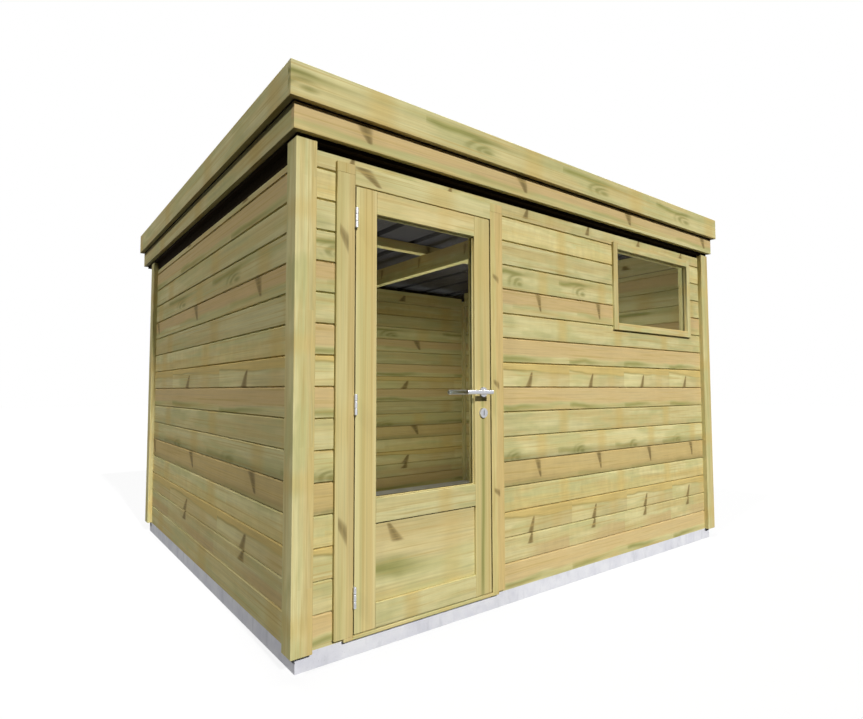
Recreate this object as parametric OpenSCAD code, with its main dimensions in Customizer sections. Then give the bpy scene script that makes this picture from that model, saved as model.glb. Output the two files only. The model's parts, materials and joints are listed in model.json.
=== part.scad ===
// Wooden garden shed on a concrete plinth: boarded walls between four corner posts, a glazed door that
// opens outward, one fixed window high in the front wall, and a flat roof of ribbed steel sheet
// behind two steps of fascia board.
// Millimetres, +Z up. The front faces -Y and the origin is under the middle of the plinth.

/* [Plinth] */
// Width of the plinth along the front, which is also the width over the wall faces
slab_w = 3400; // [3000:10:4200]
// Depth of the plinth from front to back, which is also the depth over the wall faces
slab_d = 2890; // [2500:10:3600]
// Height of the plinth
slab_h = 75; // [50:5:150]

/* [Walls and posts] */
// Thickness of the wall boards
board_t = 28; // [20:1:36]
// Height that one board covers
board_cover = 135; // [90:1:180]
// Depth of the V joint between two boards, which is twice as wide
joint_d = 6; // [2:0.5:9]
// Height of the front boarding above the door frame
over_door_h = 74; // [60:1:200]
// How far the front boarding ends below the post tops
front_drop = 22; // [5:1:60]
// How far the side boarding ends below the post tops
side_drop = 62; // [5:1:120]
// Width and depth of a corner post
post_w = 95; // [75:1:120]
// Width of the flat that eases a post's edges
post_ease = 4; // [1:0.5:10]
// How far a post stands out beyond the two wall faces that meet in it
post_proud = 32; // [15:1:40]

/* [Roof] */
// Thickness of both fascia boards
fascia_t = 28; // [20:1:32]
// Height of the lower fascia board
fascia_low_h = 114; // [108:1:140]
// How far the lower fascia hangs out beyond the wall face
fascia_low_out = 53; // [48:1:80]
// Height of the lower fascia's bottom edge above the post tops
fascia_low_lift = 19; // [5:1:40]
// Height of the upper fascia board
fascia_top_h = 150; // [150:1:200]
// How far the upper fascia stands out beyond the lower one
fascia_step = 29; // [28:1:45]
// Height of the shadow gap between the two fascia boards
fascia_gap = 6; // [4:1:15]
// How much further the roof reaches out at the back than at the front
roof_back_extra = 195; // [60:5:300]
// Depth of the rim timber that lies on the posts
rim_h = 100; // [90:1:120]
// How far the rim timber reaches in from the wall face
rim_in = 45; // [40:1:60]
// How far the packing between the boarding and the rim lies behind the wall face
packing_set = 4; // [0:1:12]
// Thickness of the upstand that carries the upper fascia
upstand_t = 45; // [38:1:60]
// How far the upstand's top stays below the fascia's top edge
upstand_drop = 12; // [5:1:30]

/* [Roof timbers and sheet] */
// Width of the middle beam that runs from front to back
beam_w = 60; // [45:1:90]
// Depth of the middle beam
beam_h = 140; // [110:1:160]
// Width of the purlin that crosses the beam
purlin_w = 64; // [45:1:90]
// Depth of the purlin
purlin_h = 68; // [55:1:80]
// How far the purlin lies in front of the middle of the plinth
purlin_forward = 60; // [0:5:120]
// Thickness of the roof sheet
sheet_t = 2; // [1.5:0.5:4]
// Distance from one rib of the roof sheet to the next
rib_pitch = 340; // [250:5:400]
// Height of a rib
rib_h = 35; // [20:1:45]
// Width of a rib at its foot
rib_foot = 70; // [55:1:90]
// Width of a rib at its crest
rib_crest = 36; // [20:1:45]

/* [Door] */
// Distance from the left wall face to the door leaf
door_from_left = 260; // [250:1:600]
// Width of the door leaf
leaf_w = 810; // [700:5:900]
// Height of the door leaf
leaf_h = 1955; // [1800:1:2100]
// Thickness of the door leaf
leaf_t = 50; // [40:1:56]
// Width of the stiles and rails of the leaf
rail_w = 108; // [90:1:120]
// Height of the middle rail's lower edge above the foot of the leaf
middle_rail_up = 454; // [300:1:900]
// Thickness of the panel under the middle rail
panel_t = 16; // [12:1:20]
// How far the panel lies behind the face of the leaf
panel_recess = 11; // [5:1:14]
// Thickness of the panes in the door and the window
glass_t = 6; // [4:1:14]

/* [Door frame] */
// Width of a jamb and of the head inside the wall
jamb_w = 45; // [40:1:60]
// Depth of the frame from its front face
jamb_d = 82; // [80:1:110]
// How far the frame and its lips stand out from the wall face
frame_proud = 20; // [15:1:22]
// Width of the stop that the leaf closes against
stop_w = 12; // [10:1:20]
// Width of the frame's lip, which laps over the boards
lip_w = 45; // [35:1:60]
// Height of the lips' lower end above the plinth
lip_lift = 15; // [0:1:40]
// Height of the sill
sill_h = 17; // [12:1:20]

/* [Door hardware] */
// Length of a hinge
hinge_h = 92; // [75:1:110]
// Height of the lowest hinge's middle above the foot of the leaf
hinge_low_up = 157; // [120:1:250]
// Height of the second hinge's middle above the foot of the leaf
hinge_middle_up = 981; // [700:1:1100]
// Distance from the top of the leaf down to the highest hinge's middle
hinge_top_down = 144; // [120:1:250]
// Radius of a hinge knuckle
knuckle_r = 7; // [5.5:0.5:7.5]
// Distance from the face of the leaf to the hinge pin
pin_out = 9; // [8.5:0.5:12]
// Radius of a hinge pin
pin_r = 4; // [3:0.5:4.5]
// Reach of a hinge plate into the gap beside the leaf
plate_d = 35; // [20:1:36]
// Height of the lever's spindle above the foot of the leaf
lever_up = 1033; // [950:1:1150]
// Distance from the spindle down to the keyhole
key_drop = 108; // [70:1:130]
// Length of the lever from its spindle to its tip
lever_reach = 150; // [110:1:160]
// Length of the lever's short end beyond the spindle
lever_tail = 24; // [14:1:28]
// Radius of the lever's bar
lever_r = 11.5; // [8:0.5:12]
// Distance from the face of the leaf to the middle of the lever's bar
lever_out = 48; // [38:1:60]
// Radius of the spindle
spindle_r = 5; // [4:0.5:6]
// Radius of the round roses under the lever and around the keyhole
rose_r = 27; // [24:0.5:30]
// Thickness of a rose
rose_t = 9; // [6:0.5:12]
// How much smaller a rose's front edge is than its foot, in radius
rose_taper = 2; // [0.5:0.5:4]
// Width of the keyhole
keyhole_w = 5; // [3:0.5:8]
// Height of the keyhole
keyhole_h = 26; // [16:1:34]

/* [Window] */
// Distance from the right wall face to the window frame
window_from_right = 215; // [120:1:600]
// Width over the window frame
window_w = 984; // [600:1:1200]
// Height over the window frame
window_h = 586; // [400:1:800]
// Height of the boarding over the window
over_window_h = 53; // [30:1:600]
// Width of a member of the window frame
window_bar = 45; // [35:1:60]
// Depth of the window frame
window_d = 70; // [52:1:80]
// How far the window frame stands out from the wall face
window_proud = 16; // [5:1:20]

/* [Clearances] */
// Gap between the leaf and the hinge jamb, the head, the sill and the stops
leaf_gap = 5; // [5:0.5:6]
// Gap between the leaf and the lock jamb, wider because the leaf's inner corner swings past it
lock_gap = 8; // [8:0.5:10]
// Running clearance of a pin or a spindle in its hole
run_gap = 0.05; // [0.02:0.01:0.1]
// Gap between neighbouring knuckles of a hinge, and between a lever and its rose
face_gap = 1; // [0.5:0.1:2]
// Gap around the roof sheet inside the upstand
sheet_gap = 2; // [1:0.5:5]

/* [Hidden] */
// Smoothness of round surfaces
$fn = 64;
// Faces of the walls and levels of the build, from the origin
half_w = slab_w / 2;
half_d = slab_d / 2;
front_y = -half_d;
post_in = post_w - post_proud;
// Levels of the walls and the roof, which follow the door
leaf_z = slab_h + sill_h + leaf_gap;
leaf_top = leaf_z + leaf_h;
head_z = leaf_top + leaf_gap;
frame_top = head_z + jamb_w;
front_wall_top = frame_top + over_door_h;
post_top = front_wall_top + front_drop;
side_wall_top = post_top - side_drop;
seat_z = post_top + rim_h;
beam_top = seat_z - purlin_h;
// Roof edges, as distances out from the wall faces
rim_out = fascia_low_out - fascia_t;
fascia_top_out = fascia_low_out + fascia_step;
upstand_out = fascia_top_out - fascia_t;
upstand_in = upstand_out - upstand_t;
roof_back_y = half_d + roof_back_extra;
fascia_low_z = post_top + fascia_low_lift;
fascia_low_top = fascia_low_z + fascia_low_h;
fascia_top_z = fascia_low_top + fascia_gap;
fascia_top_top = fascia_top_z + fascia_top_h;
// Door leaf and frame
leaf_x = door_from_left - half_w;
leaf_right = leaf_x + leaf_w;
face_y = front_y - frame_proud;
leaf_back_y = face_y + leaf_t;
jamb_back_y = face_y + jamb_d;
jamb_hinge_x = leaf_x - leaf_gap;
jamb_lock_x = leaf_right + lock_gap;
frame_left = jamb_hinge_x - jamb_w;
frame_right = jamb_lock_x + jamb_w;
stop_y = leaf_back_y + leaf_gap;
middle_rail_z = leaf_z + middle_rail_up;
pane_y = (face_y + leaf_back_y - glass_t) / 2;
// Hinges, with the heights of their middles above the foot of the leaf
pin_x = leaf_x - leaf_gap / 2;
pin_y = face_y - pin_out;
plate_t = (leaf_gap - face_gap) / 2;
hinge_ups = [hinge_low_up, hinge_middle_up, leaf_h - hinge_top_down];
knuckle_h = (hinge_h - 2 * face_gap) / 3;
// Lever and roses
spindle_x = leaf_right - rail_w / 2;
spindle_z = leaf_z + lever_up;
key_z = spindle_z - key_drop;
// Window
window_right = half_w - window_from_right;
window_x = window_right - window_w;
window_top = front_wall_top - over_window_h;
window_z = window_top - window_h;
window_face_y = front_y - window_proud;
window_pane_y = front_y + (board_t - glass_t) / 2;
// Roof sheet
sheet_half = half_w + upstand_in - sheet_gap;
rib_n = floor((2 * sheet_half - rib_foot) / rib_pitch) + 1;
rib_rise = rib_h - sheet_t;
rib_shape = [[-rib_foot / 2, 0], [-rib_crest / 2, rib_rise], [rib_crest / 2, rib_rise], [rib_foot / 2, 0]];
// Depth of a cut beyond the surface that it opens
cut = 1;

// Piece to draw

// Rectangular block between two opposite corners
module block(low, high) {
    translate(low)
        cube(high - low);
}

// Round bar along Y between two depths, around a point of the door's face
module round_y(x, z, y0, y1, r0, r1) {
    translate([x, y0, z])
        rotate([-90, 0, 0])
            cylinder(h = y1 - y0, r1 = r0, r2 = r1);
}

// The members of a list from last to first
function backwards(line) = [for (i = [len(line) - 1:-1:0]) line[i]];

// Concrete plinth
module base_slab() {
    color("lightgray")
        block([-half_w, -half_d, 0], [half_w, half_d, slab_h]);
}

// Corner post, given the sides of the shed it stands at (-1 or 1)
module post(side_x, side_y) {
    mid = post_w / 2 - post_proud;
    flat = post_w / 2 - post_ease;
    color("tan")
        translate([side_x * (half_w - mid), side_y * (half_d - mid), slab_h])
            linear_extrude(post_top - slab_h)
                polygon([
                    for (turn = [0:90:270], p = [[post_w / 2, -flat], [post_w / 2, flat]])
                        [p[0] * cos(turn) - p[1] * sin(turn), p[0] * sin(turn) + p[1] * cos(turn)]
                ]);
}

module post_front_left() {
    post(-1, -1);
}

module post_front_right() {
    post(1, -1);
}

module post_back_left() {
    post(-1, 1);
}

module post_back_right() {
    post(1, 1);
}

// Levels at which two boards meet, between the foot and the top of a piece of wall
function joints_between(z0, z1) = [
    for (z = [slab_h + board_cover:board_cover:z1])
        if (z - joint_d > z0 && z + joint_d < z1) z
];

// Section through a piece of wall, with a V joint on both faces where two boards meet
function boarding_section(z0, z1) = [
    [0, z0],
    for (z = joints_between(z0, z1), p = [[0, -joint_d], [joint_d, 0], [0, joint_d]]) [p[0], z + p[1]],
    [0, z1],
    [board_t, z1],
    for (z = backwards(joints_between(z0, z1)), p = [[0, joint_d], [joint_d, 0], [0, -joint_d]])
        [board_t - p[0], z + p[1]],
    [board_t, z0]
];

// Piece of front wall between two sides and two levels
module front_boards(x0, x1, z0, z1) {
    color("burlywood")
        translate([x0, front_y, 0])
            rotate([90, 0, 90])
                linear_extrude(x1 - x0)
                    polygon(boarding_section(z0, z1));
}

module front_wall_left() {
    front_boards(-half_w + post_in, frame_left, slab_h, front_wall_top);
}

module front_wall_over_door() {
    front_boards(frame_left, frame_right, frame_top, front_wall_top);
}

module front_wall_middle() {
    front_boards(frame_right, window_x, slab_h, front_wall_top);
}

module front_wall_under_window() {
    front_boards(window_x, window_right, slab_h, window_z);
}

module front_wall_over_window() {
    front_boards(window_x, window_right, window_top, front_wall_top);
}

module front_wall_right() {
    front_boards(window_right, half_w - post_in, slab_h, front_wall_top);
}

module left_wall() {
    color("burlywood")
        translate([-half_w, half_d - post_in, 0])
            rotate([90, 0, 0])
                linear_extrude(slab_d - 2 * post_in)
                    polygon(boarding_section(slab_h, side_wall_top));
}

module right_wall() {
    mirror([1, 0, 0])
        left_wall();
}

// The back boarding reaches up beside the end of the roof beam
module back_wall() {
    mirror([0, 1, 0])
        front_boards(-half_w + post_in, half_w - post_in, slab_h, beam_top);
}

// Jamb on the hinge side: a post in the wall with a lip over the boards
module door_jamb_hinge() {
    color("tan") {
        block([frame_left, face_y, slab_h], [jamb_hinge_x, jamb_back_y, frame_top]);
        block([frame_left - lip_w, face_y, slab_h + lip_lift], [jamb_hinge_x, front_y, frame_top + lip_w]);
    }
}

module door_jamb_lock() {
    color("tan") {
        block([jamb_lock_x, face_y, slab_h], [frame_right, jamb_back_y, frame_top]);
        block([jamb_lock_x, face_y, slab_h + lip_lift], [frame_right + lip_w, front_y, frame_top + lip_w]);
    }
}

// Head between the jambs, with its lip
module door_head() {
    color("tan") {
        block([jamb_hinge_x, face_y, head_z], [jamb_lock_x, jamb_back_y, frame_top]);
        block([jamb_hinge_x, face_y, head_z], [jamb_lock_x, front_y, frame_top + lip_w]);
    }
}

// Sill between the jambs, under the leaf
module door_sill() {
    color("tan")
        block([jamb_hinge_x, face_y, slab_h], [jamb_lock_x, jamb_back_y, slab_h + sill_h]);
}

// Stops on the two jambs, behind the leaf
module door_stops_sides() {
    color("tan")
        for (x = [jamb_hinge_x, jamb_lock_x - stop_w])
            block([x, stop_y, slab_h + sill_h], [x + stop_w, jamb_back_y, head_z]);
}

// Stops on the sill and the head, between the side ones
module door_stops_ends() {
    color("tan")
        for (z = [slab_h + sill_h, head_z - stop_w])
            block([jamb_hinge_x + stop_w, stop_y, z], [jamb_lock_x - stop_w, jamb_back_y, z + stop_w]);
}

// Fixed window: a frame in the wall with a pane between its members
module window_frame() {
    color("tan")
        difference() {
            block([window_x, window_face_y, window_z], [window_right, window_face_y + window_d, window_top]);
            block(
                [window_x + window_bar, window_face_y - cut, window_z + window_bar],
                [window_right - window_bar, window_face_y + window_d + cut, window_top - window_bar]
            );
        }
}

module window_glass() {
    color("lightcyan", 0.4)
        block(
            [window_x + window_bar, window_pane_y, window_z + window_bar],
            [window_right - window_bar, window_pane_y + glass_t, window_top - window_bar]
        );
}

// Rim timber and upstand along the front, drawn for a wall face at y
module rim_across(y) {
    block([-half_w - rim_out, y - rim_out, post_top], [half_w + rim_out, y + rim_in, seat_z]);
    block([-half_w - rim_out, y - rim_out, seat_z], [half_w + rim_out, y - upstand_in, fascia_low_top]);
    block(
        [-half_w - upstand_out, y - upstand_out, fascia_low_top],
        [half_w + upstand_out, y - upstand_in, fascia_top_top - upstand_drop]
    );
}

// Rims of the front and the back; packing fills the front one down to the boards
module rims_front_back() {
    color("saddlebrown") {
        rim_across(front_y);
        block(
            [-half_w + post_in, front_y + packing_set, front_wall_top],
            [half_w - post_in, front_y + board_t, post_top]
        );
        mirror([0, 1, 0])
            rim_across(-roof_back_y);
    }
}

// Rim timber and upstand along the left side, between the front and back ones, packed down to the boards
module rim_left() {
    block(
        [-half_w + packing_set, -half_d + post_in, side_wall_top],
        [-half_w + board_t, half_d - post_in, post_top]
    );
    block([-half_w - rim_out, front_y + rim_in, post_top], [-half_w + rim_in, roof_back_y - rim_in, seat_z]);
    block(
        [-half_w - rim_out, front_y - upstand_in, seat_z],
        [-half_w - upstand_in, roof_back_y + upstand_in, fascia_low_top]
    );
    block(
        [-half_w - upstand_out, front_y - upstand_in, fascia_low_top],
        [-half_w - upstand_in, roof_back_y + upstand_in, fascia_top_top - upstand_drop]
    );
}

module rims_sides() {
    color("saddlebrown") {
        rim_left();
        mirror([1, 0, 0])
            rim_left();
    }
}

// Middle beam from the front rim to the back wall
module roof_beam() {
    color("sienna")
        block([-beam_w / 2, front_y + rim_in, beam_top - beam_h], [beam_w / 2, half_d - board_t, beam_top]);
}

// Purlin across the beam, from side rim to side rim
module roof_purlin() {
    color("sienna")
        translate([0, -purlin_forward, beam_top + purlin_h / 2])
            cube([2 * (half_w - rim_in), purlin_w, purlin_h], center = true);
}

// Underside of the roof sheet from left to right, with the ribs standing up from it
function sheet_line(lift) = [
    [-sheet_half, lift],
    for (i = [0:rib_n - 1], p = rib_shape)
        [(i - (rib_n - 1) / 2) * rib_pitch + p[0], lift + p[1]],
    [sheet_half, lift]
];

module roof_sheet() {
    y0 = front_y - upstand_in + sheet_gap;
    y1 = roof_back_y + upstand_in - sheet_gap;
    color("dimgray")
        translate([0, y1, seat_z])
            rotate([90, 0, 0])
                linear_extrude(y1 - y0)
                    polygon(concat(sheet_line(0), backwards(sheet_line(sheet_t))));
}

// Fascia board across the front, given its reach out from the wall face and its levels
module fascia_across(y, out, z0, z1) {
    color("wheat")
        block([-half_w - out, y - out, z0], [half_w + out, y - out + fascia_t, z1]);
}

// Fascia board along the left side, butted between the front and back ones
module fascia_along(out, z0, z1) {
    color("wheat")
        block(
            [-half_w - out, front_y - out + fascia_t, z0],
            [-half_w - out + fascia_t, roof_back_y + out - fascia_t, z1]
        );
}

module fascia_low_front() {
    fascia_across(front_y, fascia_low_out, fascia_low_z, fascia_low_top);
}

module fascia_low_back() {
    mirror([0, 1, 0])
        fascia_across(-roof_back_y, fascia_low_out, fascia_low_z, fascia_low_top);
}

module fascia_low_left() {
    fascia_along(fascia_low_out, fascia_low_z, fascia_low_top);
}

module fascia_low_right() {
    mirror([1, 0, 0])
        fascia_low_left();
}

module fascia_top_front() {
    fascia_across(front_y, fascia_top_out, fascia_top_z, fascia_top_top);
}

module fascia_top_back() {
    mirror([0, 1, 0])
        fascia_across(-roof_back_y, fascia_top_out, fascia_top_z, fascia_top_top);
}

module fascia_top_left() {
    fascia_along(fascia_top_out, fascia_top_z, fascia_top_top);
}

module fascia_top_right() {
    mirror([1, 0, 0])
        fascia_top_left();
}

module door_stile_hinge() {
    color("khaki")
        block([leaf_x, face_y, leaf_z], [leaf_x + rail_w, leaf_back_y, leaf_top]);
}

// Bore for the lever's spindle between two depths
module spindle_bore(y0, y1) {
    bore_r = spindle_r + run_gap;
    round_y(spindle_x, spindle_z, y0 - cut, y1 + cut, bore_r, bore_r);
}

// Lock stile, bored for the spindle of the lever
module door_stile_lock() {
    color("khaki")
        difference() {
            block([leaf_right - rail_w, face_y, leaf_z], [leaf_right, leaf_back_y, leaf_top]);
            spindle_bore(face_y, leaf_back_y);
        }
}

// Rail between the stiles, from a given level up
module rail(z0) {
    color("khaki")
        block([leaf_x + rail_w, face_y, z0], [leaf_right - rail_w, leaf_back_y, z0 + rail_w]);
}

module door_rail_top() {
    rail(leaf_top - rail_w);
}

module door_rail_middle() {
    rail(middle_rail_z);
}

module door_rail_bottom() {
    rail(leaf_z);
}

module door_panel() {
    color("khaki")
        block(
            [leaf_x + rail_w, face_y + panel_recess, leaf_z + rail_w],
            [leaf_right - rail_w, face_y + panel_recess + panel_t, middle_rail_z]
        );
}

module door_glass() {
    color("lightcyan", 0.4)
        block(
            [leaf_x + rail_w, pane_y, middle_rail_z + rail_w],
            [leaf_right - rail_w, pane_y + glass_t, leaf_top - rail_w]
        );
}

// Hinge plate in the gap beside the leaf, with a tongue out to the pin over part of its height
module hinge_plate(x0, tongues) {
    block([x0, face_y, 0], [x0 + plate_t, face_y + plate_d, hinge_h]);
    for (z = tongues)
        block([x0, pin_y, z], [x0 + plate_t, face_y, z + knuckle_h]);
}

// Knuckle at a given height of the hinge
module knuckle(z) {
    translate([pin_x, pin_y, z])
        cylinder(h = knuckle_h, r = knuckle_r);
}

// Draws its children at the foot of each of the three hinges
module at_hinges() {
    for (up = hinge_ups)
        translate([0, 0, leaf_z + up - hinge_h / 2])
            children();
}

// Frame half of the hinges: the plate on the jamb, the end knuckles and the pin
module hinges_frame() {
    upper = hinge_h - knuckle_h;
    color("silver")
        at_hinges() {
            hinge_plate(jamb_hinge_x, [0, upper]);
            knuckle(0);
            knuckle(upper);
            translate([pin_x, pin_y, 0])
                cylinder(h = hinge_h, r = pin_r);
        }
}

// Leaf half of the hinges: the plate on the stile and the middle knuckle, bored for the pin
module hinges_door() {
    middle = knuckle_h + face_gap;
    color("silver")
        at_hinges()
            difference() {
                union() {
                    hinge_plate(leaf_x - plate_t, [middle]);
                    knuckle(middle);
                }
                translate([pin_x, pin_y, middle - cut])
                    cylinder(h = knuckle_h + 2 * cut, r = pin_r + run_gap);
            }
}

// Round rose on the outer face of the leaf, at a given level
module rose(z) {
    round_y(spindle_x, z, face_y - rose_t, face_y, rose_r - rose_taper, rose_r);
}

// Both roses of one face of the leaf: a bored one for the lever and one with a keyhole
module rose_pair() {
    difference() {
        rose(spindle_z);
        spindle_bore(face_y - rose_t, face_y);
    }
    difference() {
        rose(key_z);
        translate([spindle_x, face_y, key_z])
            cube([keyhole_w, 4 * rose_t, keyhole_h], center = true);
    }
}

// Draws its children on the outer face of the leaf and, turned over, on the inner face
module on_both_faces() {
    children();
    translate([0, face_y + leaf_back_y, 0])
        mirror([0, 1, 0])
            children();
}

module door_roses() {
    color("silver")
        on_both_faces()
            rose_pair();
}

// Lever on one face of the leaf: a neck out of the rose and a straight bar towards the hinges
module lever() {
    round_y(spindle_x, spindle_z, face_y - lever_out, face_y - rose_t - face_gap, lever_r, lever_r);
    translate([spindle_x - lever_reach, face_y - lever_out, spindle_z])
        rotate([0, 90, 0])
            cylinder(h = lever_reach + lever_tail, r = lever_r);
}

// The two levers on their common spindle
module lever_handle() {
    color("silver") {
        on_both_faces()
            lever();
        round_y(spindle_x, spindle_z, face_y - lever_out, leaf_back_y + lever_out, spindle_r, spindle_r);
    }
}

base_slab();
post_front_left();
post_front_right();
post_back_left();
post_back_right();
front_wall_left();
front_wall_over_door();
front_wall_middle();
front_wall_under_window();
front_wall_over_window();
front_wall_right();
left_wall();
right_wall();
back_wall();
door_jamb_hinge();
door_jamb_lock();
door_head();
door_sill();
door_stops_sides();
door_stops_ends();
window_frame();
window_glass();
rims_front_back();
rims_sides();
roof_beam();
roof_purlin();
roof_sheet();
fascia_low_front();
fascia_low_back();
fascia_low_left();
fascia_low_right();
fascia_top_front();
fascia_top_back();
fascia_top_left();
fascia_top_right();
door_stile_hinge();
door_stile_lock();
door_rail_top();
door_rail_middle();
door_rail_bottom();
door_panel();
door_glass();
hinges_frame();
hinges_door();
door_roses();
lever_handle();
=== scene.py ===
"""Wooden garden shed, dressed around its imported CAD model.

Boards with their joints, joinery, roof timbers, ironmongery and panes take their places from the frame.
"""

import json
import math
import random
from types import SimpleNamespace

import bmesh
import bpy
from mathutils import Matrix, Vector


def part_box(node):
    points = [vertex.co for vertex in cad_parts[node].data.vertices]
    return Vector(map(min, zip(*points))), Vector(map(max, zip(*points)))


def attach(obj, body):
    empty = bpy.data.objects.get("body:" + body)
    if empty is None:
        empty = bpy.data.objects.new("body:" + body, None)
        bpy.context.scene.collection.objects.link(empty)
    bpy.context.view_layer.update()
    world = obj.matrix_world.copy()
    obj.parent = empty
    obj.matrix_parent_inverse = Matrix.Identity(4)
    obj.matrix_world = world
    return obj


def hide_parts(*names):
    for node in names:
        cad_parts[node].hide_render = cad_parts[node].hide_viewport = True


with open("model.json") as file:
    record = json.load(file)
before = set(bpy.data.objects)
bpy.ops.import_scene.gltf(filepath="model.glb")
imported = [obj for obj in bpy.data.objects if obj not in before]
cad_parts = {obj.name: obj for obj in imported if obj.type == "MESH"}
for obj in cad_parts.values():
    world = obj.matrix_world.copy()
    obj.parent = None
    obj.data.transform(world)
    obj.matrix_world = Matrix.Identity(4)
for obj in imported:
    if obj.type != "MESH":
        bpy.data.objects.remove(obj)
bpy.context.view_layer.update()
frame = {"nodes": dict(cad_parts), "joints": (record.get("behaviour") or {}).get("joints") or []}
nodes = frame["nodes"]
joints = {j["name"]: Vector(j["pos_m"]) for j in frame["joints"]}
chance = random.Random(11)

# Sizes in metres
MM = 0.001
BOARD_COVER = 135 * MM
V_JOINT = 6 * MM
SLOT_W = 2.4 * MM
SLOT_D = 5 * MM
LEAST_BOARD = 2 * MM
ARRIS = 2.5 * MM
ARRIS_STEPS = 3
END_EASE = 1 * MM
KNOT_SPACING = 567 * MM
AXES = "xyz"

# Where the main planes and levels of the build lie
slab_low, slab_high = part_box("base_slab")
left_x, front_y = slab_low.x, slab_low.y
right_x, back_y = slab_high.x, slab_high.y
foot_z = slab_high.z
stile_low, stile_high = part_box("door_stile_hinge")
leaf_face_y, leaf_back_y = stile_low.y, stile_high.y

# Colours of the treated pine
PINE_PALE = "#D3CA94"
PINE_WARM = "#C3AF74"
PINE_COOL = "#B7B27C"
PINE_FLUSH = "#C6AB66"
PINE_BLUSH = "#C5AB79"
PINE_CAP = "#C9B06C"
PINE_CAP_LINE = "#918044"
PINE_GREEN = "#8C8B4E"
PINE_HALO = "#B39B66"
PINE_KNOT = "#86744A"
PINE_KNOT_HEART = "#695B35"
PINE_CURL = "#85834A"
PINE_LINE = "#A58F57"

# Values that each point of a board carries to its material, three to an attribute
CARRIED = {
    "cut": ("width", "seed", "ripple"),
    "figure": ("pink", "green", "yellow"),
    "levels": ("pink_at", "green_at", "yellow_at"),
    "marks": ("knots", "taper", "curl"),
    "knot": ("knot_at", "knot_half", "lean"),
    "shade": ("tone", "foot", "early"),
}
# A board without figure. Heights on a board go from -0.5 at its lower edge to 0.5 at its upper one
CLEAR = {**{key: 0.0 for keys in CARRIED.values() for key in keys}, "knot_half": 0.3}
SPIKES_UP = dict(knots=0.95, taper=-1.0)
SPIKES_DOWN = dict(knots=0.9, taper=1.0)
WALL_SPIKES = dict(SPIKES_DOWN, knot_at=0.12, knot_half=0.38, lean=0.23)
JAMB_KNOTS = dict(knots=0.7, taper=0.5, knot_at=-0.1, knot_half=0.25, lean=0.6)
EVERYWHERE = -0.7
# Kinds of board by the part of the log they come from: amounts of pink, green and yellow with the heights
# where they lie, knots or curls, and tone: over all, at the foot, and before each knot
KINDS = {
    "plain": dict(ripple=0.4, tone=-0.05, foot=0.05),
    "blushed": dict(ripple=0.2, pink=0.8, pink_at=-0.2, green=0.8, green_at=-0.33, tone=0.06, foot=0.05),
    "capped": dict(SPIKES_UP, ripple=0.4, pink=-0.3, pink_at=0.05, yellow=0.8, yellow_at=0.18,
                   knot_at=-0.2, knot_half=0.36, lean=-0.33, early=0.08),
    "knotty": dict(WALL_SPIKES, ripple=0.2, pink=0.9, pink_at=-0.12, green=0.4, green_at=-0.17),
    "stained": dict(WALL_SPIKES, ripple=0.4, pink=0.7, pink_at=-0.38, green=0.3, green_at=-0.4,
                    yellow=0.4, yellow_at=EVERYWHERE, tone=-0.02, foot=0.2),
    "curly": dict(ripple=0.4, green=0.9, green_at=0.2, curl=1.0, knot_at=-0.2, knot_half=0.5),
    "whorled": dict(ripple=0.3, green=0.6, green_at=-0.3, curl=1.0, knot_at=-0.36, knot_half=0.38,
                    tone=0.04, foot=0.32),
    "rippled": dict(ripple=1.0, yellow=-0.35, tone=0.09),
    "pale": dict(SPIKES_UP, ripple=0.6, pink=-0.7, pink_at=0.05, knot_at=0.3, knot_half=0.22, lean=-0.3,
                 tone=-0.05, early=0.05),
    "topmost": dict(SPIKES_UP, ripple=0.6, pink=-0.5, pink_at=-0.3, knot_at=-0.1, knot_half=0.25, lean=-0.3),
    "straight": dict(ripple=0.1, pink=0.3, pink_at=0.1, green=0.2, green_at=-0.1, yellow=0.3, yellow_at=0.3),
    "stile": dict(ripple=0.1, pink=0.3, pink_at=0.2, green=0.3, green_at=-0.2, yellow=0.1,
                  yellow_at=EVERYWHERE, tone=0.11),
    "halved": dict(ripple=0.1, pink=0.3, pink_at=0.2, green=0.9, green_at=-0.05, yellow=0.3,
                   yellow_at=EVERYWHERE, tone=-0.05),
    "rail": dict(ripple=0.2, pink=0.3, pink_at=-0.4, tone=0.1),
    "panel": dict(ripple=0.3, pink=0.4, pink_at=-0.1, green=0.9, green_at=-0.15,
                  knots=0.8, taper=-1.0, knot_at=0.34, knot_half=0.13, lean=0.4),
    "jamb": dict(JAMB_KNOTS, ripple=0.1, pink=0.5, pink_at=0.15, green=0.1, green_at=-0.2,
                 yellow=0.3, yellow_at=EVERYWHERE, tone=-0.08),
    "lock_jamb": dict(JAMB_KNOTS, ripple=0.1, pink=0.8, pink_at=-0.1, green=0.1, green_at=-0.3,
                      yellow=0.4, yellow_at=EVERYWHERE, tone=0.05),
    "head": dict(SPIKES_DOWN, ripple=0.3, green=0.3, green_at=-0.1, knot_at=0.05, knot_half=0.42, lean=0.6),
    "beam": dict(ripple=0.2, pink=0.5, green=0.2, green_at=-0.2, knots=0.6, taper=1.0, knot_at=0.1, lean=0.2,
                 tone=-0.1),
}
# Courses of the walls from the plinth up: the kind of board and where its first knot lies along the front
COURSES = [
    ("blushed", -0.294), ("pale", -0.318), ("capped", -0.290), ("rippled", -0.211),
    ("stained", -0.230), ("whorled", -0.408), ("plain", -0.211), ("blushed", -0.294),
    ("capped", -0.294), ("blushed", -0.294), ("plain", -0.211), ("knotty", -0.211),
    ("curly", -0.381), ("plain", -0.211), ("rippled", -0.211), ("topmost", -0.314),
]
# Courses of the side walls that differ from the front
SIDE_COURSES = {0: "plain", 9: "rippled", 14: "blushed"}


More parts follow.
